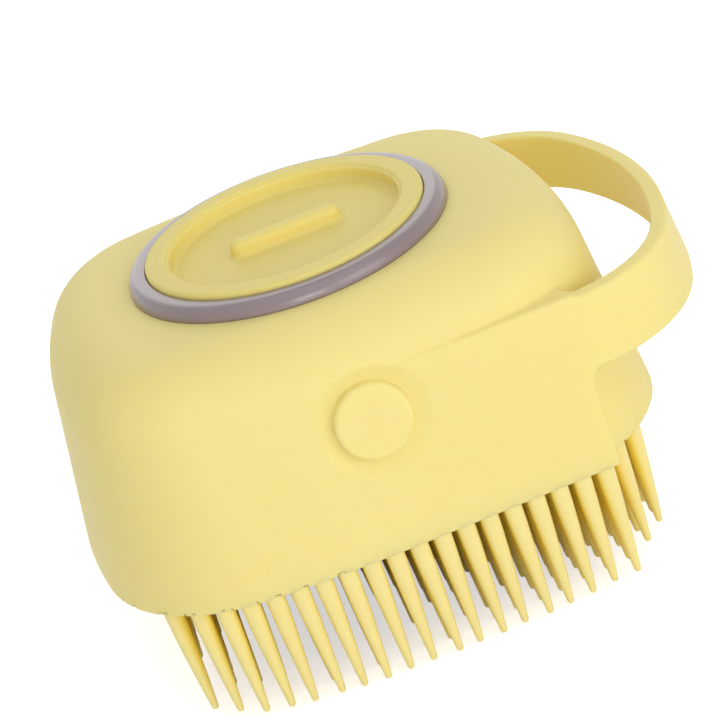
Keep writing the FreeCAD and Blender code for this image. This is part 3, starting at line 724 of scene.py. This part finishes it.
def grey_plastic(name, light, dark):
    """Stiff cloudy plastic with a soft gloss."""
    nodes = Nodes(bpy.data.materials.new(name))
    place = nodes.add("ShaderNodeTexCoord", {}).outputs["Object"]
    swirl = nodes.noise(place, 60.0, detail=2.0)
    nodes.link(nodes.mix(swirl, light, dark), "Base Color")
    speck = nodes.noise(place, 900.0, detail=2.0)
    nodes.link(nodes.spread(speck, low=0.30, high=0.34), "Roughness")
    nodes.set(Subsurface_Weight=0.15, Subsurface_Scale=0.002,
              Subsurface_Radius=(1.0, 0.9, 0.8), Coat_Weight=0.6, Coat_Roughness=0.16)
    return nodes.owner


yellow = silicone("yellow_silicone", linear(250, 232, 152), linear(247, 227, 143))
# The strands get painted shade and light: a golden tint between them.
strand_yellow = silicone("strand_silicone", linear(252, 234, 160), linear(250, 230, 150),
                         scale=84.0, scatter=0.3, reach=0.0012, painted_glow_colour=linear(255, 224, 80))
lid_yellow = silicone("lid_silicone", linear(246, 226, 138), linear(240, 218, 126))
grey = grey_plastic("grey_plastic", linear(145, 128, 131), linear(135, 119, 123))

for piece, material, slot in ((shell, yellow, "yellow_silicone"),
                              (lid, lid_yellow, "yellow_silicone"),
                              (valve, yellow, "yellow_silicone"),
                              (collar, grey, "grey_plastic")):
    piece.data.materials.append(material)
for piece in strands.values():
    piece.data.materials.append(strand_yellow)

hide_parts("brush_body", "finger_strap", "side_button_near", "side_button_far")
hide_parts("reservoir_lid")
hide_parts("outlet_valve")
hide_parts("mouth_collar")
for block, piece in strands.items():
    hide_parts(block)
for piece in (shell, valve, collar, *strands.values()):
    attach(piece, "brush")
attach(lid, "lid")

# ---------------------------------------------------------------- floor, lights, camera

# Lengths in metres, the lens in millimetres, the camera's angles in degrees.
FLOOR_REACH, FLOOR_LIFT, SKY_STRENGTH = 4.0, 0.6, 0.52
LAMP_DISTANCE, LAMP_AIM = 0.9, Vector((0, 0, 0.03))
LENS, SENSOR = 94.9, 36.0
HEADING, DIP, ROLL = (math.radians(angle) for angle in (5.2655, 26.4713, -19.1670))
CAMERA_AIM, CAMERA_DISTANCE = Vector((4.159, -0.320, 10.689)) * MM, 290.0 * MM


def make_floor():
    """Matt white plane that keeps the shadow and is lifted to white where it is seen."""
    ground = cad_low.z - STANDING_CUT * MM
    corners = [(x * FLOOR_REACH, y * FLOOR_REACH, ground)
               for x, y in ((-1, -1), (1, -1), (1, 1), (-1, 1))]
    mesh = bpy.data.meshes.new("floor")
    mesh.from_pydata(corners, [], [(0, 1, 2, 3)])
    nodes = Nodes(bpy.data.materials.new("floor_white"))
    nodes.set(Base_Color=(0.93, 0.93, 0.93, 1), Roughness=0.9, Specular_IOR_Level=0.0,
              Emission_Color=(1, 1, 1, 1))
    nodes.link(nodes.shown(unseen=0.0, seen=FLOOR_LIFT), "Emission Strength")
    mesh.materials.append(nodes.owner)
    return put_in_scene("floor", mesh)


def make_world():
    """Even soft light that is white where it is seen."""
    world = bpy.data.worlds.new("studio")
    bpy.context.scene.world = world
    nodes = Nodes(world, "Background")
    nodes.set(Color=(1, 1, 1, 1))
    nodes.link(nodes.shown(unseen=SKY_STRENGTH, seen=1.0), "Strength")


def make_lamp(name, azimuth, elevation, size, power):
    """Square soft light aimed at the brush; azimuth 0 is in front, 90 towards +X."""
    light = bpy.data.lights.new(name, "AREA")
    light.size, light.energy = size, power
    azimuth, elevation = math.radians(azimuth), math.radians(elevation)
    out = Vector((math.sin(azimuth) * math.cos(elevation),
                  -math.cos(azimuth) * math.cos(elevation), math.sin(elevation)))
    lamp = put_in_scene(name, light)
    lamp.location = out * LAMP_DISTANCE + LAMP_AIM
    lamp.rotation_mode = "QUATERNION"
    lamp.rotation_quaternion = out.to_track_quat("Z", "Y")


def make_camera():
    """Camera at the photograph's viewing angle, headed round from +Y and dipped."""
    data = bpy.data.cameras.new("camera")
    data.lens, data.sensor_width = LENS, SENSOR
    data.clip_start, data.clip_end = 0.01, 20.0
    look = Vector((math.sin(HEADING) * math.cos(DIP), math.cos(HEADING) * math.cos(DIP),
                   -math.sin(DIP)))
    level = look.cross(Vector((0, 0, 1))).normalized()
    right = level * math.cos(ROLL) + level.cross(look) * math.sin(ROLL)
    turn = Matrix((right, right.cross(look), -look)).transposed()
    camera = put_in_scene("camera", data)
    eye = ORIGIN + CAMERA_AIM - look * CAMERA_DISTANCE
    camera.matrix_world = Matrix.Translation(eye) @ turn.to_4x4()
    bpy.context.scene.camera = camera


make_floor()
make_world()
make_lamp("key", azimuth=34, elevation=20, size=0.5, power=1.6)
make_lamp("front", azimuth=-4, elevation=14, size=0.35, power=1.45)
make_lamp("top", azimuth=20, elevation=70, size=0.8, power=0.9)
make_lamp("back", azimuth=180, elevation=30, size=0.7, power=1.0)
make_camera()
bpy.context.scene.view_settings.view_transform = "Standard"
